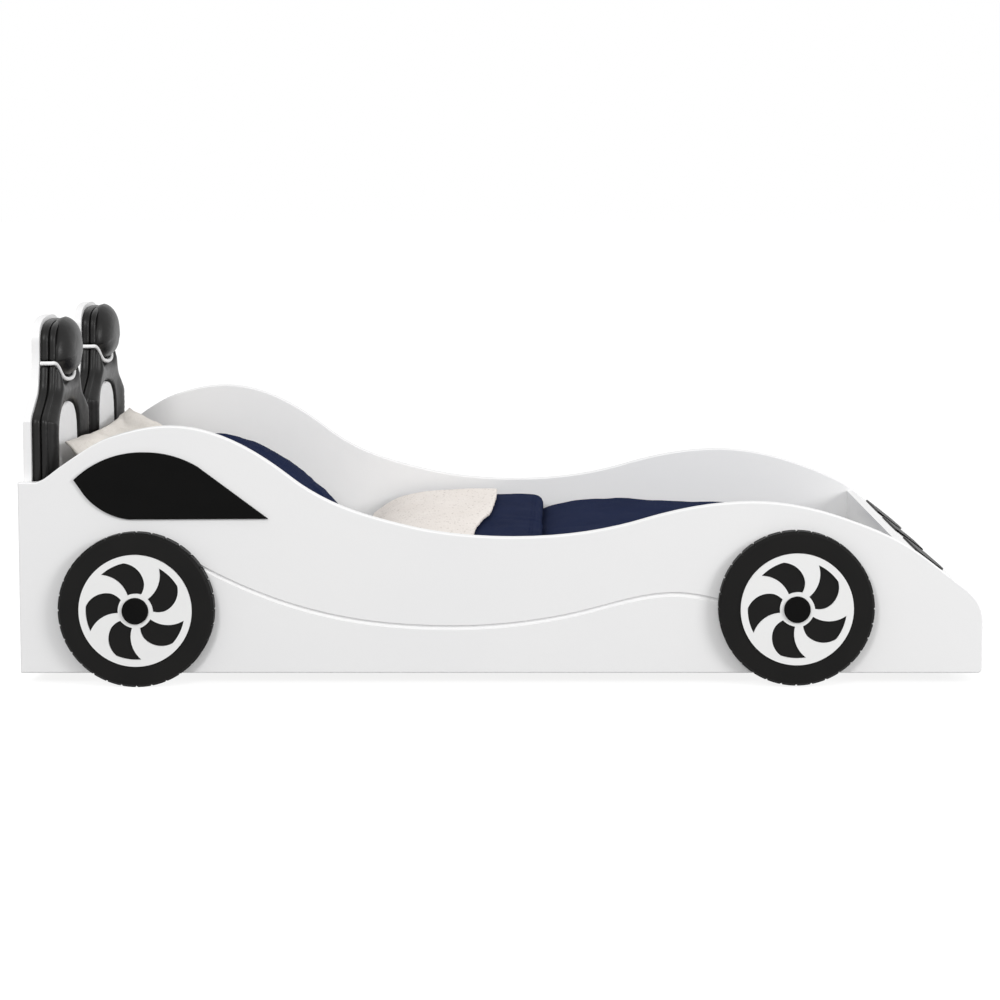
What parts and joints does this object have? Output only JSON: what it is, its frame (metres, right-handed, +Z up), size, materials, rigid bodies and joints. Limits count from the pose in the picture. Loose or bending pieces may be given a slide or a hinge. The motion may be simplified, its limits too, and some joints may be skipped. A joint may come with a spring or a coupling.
{
  "type": "car bed for children",
  "caption": "Child's bed shaped like a racing car: wavy white side panels with flat black wheels, a headboard with upholstered racing seats and a sloped nose, made up with pillows and a quilt.",
  "frame": {"origin": "on the floor under the middle of the bed's overall box", "axes": "+X towards the nose, +Y towards the bed's left side, +Z up"},
  "size_m": [2.23, 1.06, 0.8455],
  "materials": {
    "white_lacquer": "satin white lacquer on board",
    "black_gloss": "gloss black",
    "tyre_black": "satin black paint on board",
    "rim_white": "gloss white",
    "hub_black": "gloss black",
    "black_leatherette": "soft semi-gloss",
    "white_insert": "white quilted cloth",
    "white_piping": "white leatherette cord",
    "timber": "bare pine",
    "glide_plastic": "moulded black",
    "steel": "zinc plated",
    "mattress_cotton": "white cotton cover",
    "linen": "crumpled beige linen",
    "navy_cotton": "navy cotton",
    "beige_knit": "knitted beige"
  },
  "bodies": {
    "root": {"beige_throw": "beige_knit", "bracket_screws": "steel", "centre_beam": "timber", "centre_insert_left": "white_insert", "centre_insert_right": "white_insert", "centre_legs": "timber", "corner_brackets": "steel", "foot_glides": "glide_plastic", "foot_rail": "timber", "footboard_panel": "white_lacquer", "front_left_hub_cap": "hub_black", "front_left_rim_plate": "rim_white", "front_left_tyre_disc": "tyre_black", "front_right_hub_cap": "hub_black", "front_right_rim_plate": "rim_white", "front_right_tyre_disc": "tyre_black", "grille_plate": "black_gloss", "head_rail": "timber", "headboard_panel": "white_lacquer", "headlight_left": "black_gloss", "headlight_right": "black_gloss", "headrest_base_left": "black_leatherette", "headrest_base_right": "black_leatherette", "headrest_pad_left": "black_leatherette", "headrest_pad_right": "black_leatherette", "hood_panel": "white_lacquer", "linen_pillow": "linen", "mattress": "mattress_cotton", "navy_pillow": "navy_cotton", "navy_quilt": "navy_cotton", "neck_piping_left": "white_piping", "neck_piping_right": "white_piping", "nose_bumper": "white_lacquer", "rear_left_hub_cap": "hub_black", "rear_left_rim_plate": "rim_white", "rear_left_tyre_disc": "tyre_black", "rear_right_hub_cap": "hub_black", "rear_right_rim_plate": "rim_white", "rear_right_tyre_disc": "tyre_black", "seat_back_base_left": "black_leatherette", "seat_back_base_right": "black_leatherette", "seat_back_pad_left": "black_leatherette", "seat_back_pad_right": "black_leatherette", "side_panel_left": "white_lacquer", "side_panel_right": "white_lacquer", "side_rail_left": "timber", "side_rail_right": "timber", "slat_01": "timber", "slat_02": "timber", "slat_03": "timber", "slat_04": "timber", "slat_05": "timber", "slat_06": "timber", "slat_07": "timber", "slat_08": "timber", "slat_09": "timber", "slat_10": "timber", "slat_11": "timber", "window_insert_left": "black_gloss", "window_insert_right": "black_gloss"}
  },
  "joints": []
}
